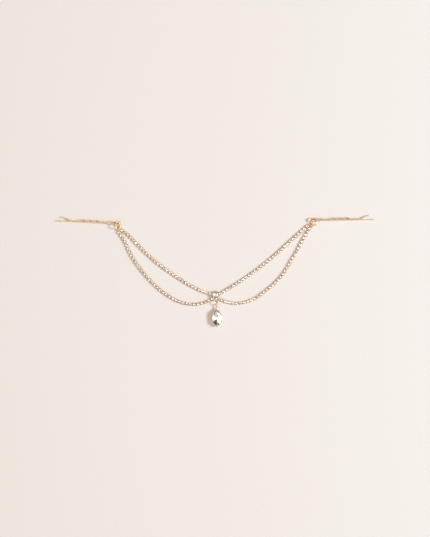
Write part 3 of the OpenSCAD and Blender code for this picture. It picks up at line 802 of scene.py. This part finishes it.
rows = [(outside - x, z) for x, z in s["foot"]] + [(outside - x, rim - z) for x, z in s["rim"]]
rows += [(clear + 0.03, rim - 0.03), (clear, rim - 0.08), (clear, s["floor"])]
loop = bmesh.ops.create_circle(bm, cap_ends=False, radius=1, segments=4 * len(angles))["verts"]
for number, vert in enumerate(loop):
    vert[spot] = number
placeOval(loop, *rows[0])
first = edges = edgesAmong(loop)
for row in rows[1:]:
    verts, edges = extrudeLoop(bm, edges)
    placeOval(verts, *row)
bmesh.ops.holes_fill(bm, edges=first)
bmesh.ops.holes_fill(bm, edges=edges)
sideRadius = sideArcRadius(halfLong + outside, halfWide + outside, d["endRadius"] + outside)
meetAngle = math.atan2(halfLong - d["endRadius"], sideRadius - halfWide - outside)
for half in (0, math.pi):
    for share in (-s["clawShare"], s["clawShare"]):
        place = Matrix.Rotation(half, 4, "Z") @ Matrix.Translation((halfWide + outside - sideRadius, 0, 0)) \
            @ Matrix.Rotation(share * meetAngle, 4, "Z")
        addClaw(bm, sideRadius - wall, s["clawFoot"], rim, s["claw"], place, s["clawSides"])
    place = Matrix.Rotation(math.pi / 2 + half, 4, "Z")
    addClaw(bm, halfLong + clear, s["clawFoot"], rim, s["claw"], place, s["clawSides"])
eyeSpot = dropPlace.inverted() @ (ringMiddle - Vector((0, dropRing, 0)))
addEye(bm, eyeSpot, ringAxis)
# the stem: round at the eye, spreading into a flat tongue that is soldered to the setting
foot, top = halfLong + outside, eyeSpot.y - smallEye["radius"]
spread = [(top + 0.08, 0.0), (top - 0.25, 0.04), (top * 0.75 + foot * 0.25, 0.2), (top * 0.5 + foot * 0.5, 0.42),
          (top * 0.2 + foot * 0.8, 0.75), (foot - 0.15, 1.0), (foot - 0.35, 1.02)]
frames = []
for y, share in spread:
    wide = s["stemThin"] + (s["stemWide"] - s["stemThin"]) * share
    deep = s["stemThin"] + (s["stemDeep"] - s["stemThin"]) * share
    frames.append(Matrix.Translation((eyeSpot.x, y, eyeSpot.z)) @ Matrix.Rotation(math.pi / 2, 4, "X")
                  @ Matrix.Diagonal((wide, deep, 1, 1)))
sweepFrames(bm, roundLoop(bm, 0.5, s["stemSides"]), frames)
bmesh.ops.transform(bm, matrix=dropPlace, verts=bm.verts)
shadeByAngle(bm, 35)
finishPiece("drop_claw_setting", bm, [paleGold], ["drop_setting"])
print("drop set")


# Floor, light and camera

# a dim, warm room round a large cool lamp at the right, a wide warm panel above and a weak card in front
studio = {"floorSize": 6.0, "floorDark": "#e7e4e2", "floorLight": "#ebeae8", "grain": 1.2,
          "worldColour": "#ffe5d0", "worldStrength": 0.22}
softboxes = {  # watts, place and size in metres, colour; each faces the piece
    "key_softbox": {"power": 62.0, "place": (2.12, 0.15, 1.52), "size": 0.69, "colour": "#eff8ff"},
    "overhead_panel": {"power": 17.0, "place": (-0.6, 0.1, 1.6), "size": 2.5, "colour": "#fff1e4"},
    "front_card": {"power": 5.5, "place": (0.8, -1.5, 1.1), "size": 1.6, "colour": "#fff7f0"}}

bpy.ops.mesh.primitive_plane_add(size=studio["floorSize"])
floor = bpy.context.object
floor.name = "floor"
paper = newMaterial("matt_paper_card")  # uncoated card: no gloss, the fibres barely show
place = addNode(paper, "ShaderNodeTexCoord").outputs["Object"]
fibres = addNode(paper, "ShaderNodeTexNoise", {"Scale": 1 / (studio["grain"] * mm), "Detail": 4.0}, {"Vector": place})
tone = twoTone(paper, fibres, studio["floorDark"], studio["floorLight"])
relief = addNode(paper, "ShaderNodeBump", {"Strength": 0.08, "Distance": 0.1 * mm}, {"Height": fibres.outputs["Fac"]})
card = addNode(paper, "ShaderNodeBsdfPrincipled", {"Roughness": 0.95, "Specular IOR Level": 0.2},
               {"Base Color": tone.outputs["Color"], "Normal": relief.outputs["Normal"]})
floor.data.materials.append(finishMaterial(paper, card))

for name, box in softboxes.items():
    light = bpy.data.lights.new(name, "AREA")
    light.shape, light.size = "DISK", box["size"]
    light.energy, light.color = box["power"], linearFromHex(box["colour"])[:3]
    lamp = bpy.data.objects.new(name, light)
    lamp.location = box["place"]
    lamp.rotation_euler = (-lamp.location).to_track_quat("-Z", "Y").to_euler()
    bpy.context.scene.collection.objects.link(lamp)

world = bpy.data.worlds.new("studio_air")
world.use_nodes = True
world.node_tree.nodes["Background"].inputs["Color"].default_value = linearFromHex(studio["worldColour"])
world.node_tree.nodes["Background"].inputs["Strength"].default_value = studio["worldStrength"]
bpy.context.scene.world = world
bpy.context.scene.view_settings.view_transform = "Standard"
bpy.context.scene.cycles.max_bounces = 24  # light turns many times inside a cut stone before it leaves
bpy.context.scene.cycles.glossy_bounces = 20
bpy.context.scene.cycles.transmission_bounces = 20

camera = {"perPixel": 0.793, "rows": 537, "lens": 100.0, "sensor": 36.0, "middle": (-0.16, 1.894)}
tall = camera["perPixel"] * camera["rows"] * mm
lens = bpy.data.cameras.new("camera")
lens.lens, lens.sensor_width = camera["lens"], camera["sensor"]
eye = bpy.data.objects.new("camera", lens)
eye.location = (camera["middle"][0] * mm, camera["middle"][1] * mm, tall * camera["lens"] / camera["sensor"])
bpy.context.scene.collection.objects.link(eye)
bpy.context.scene.camera = eye
print("floor, light and camera placed")
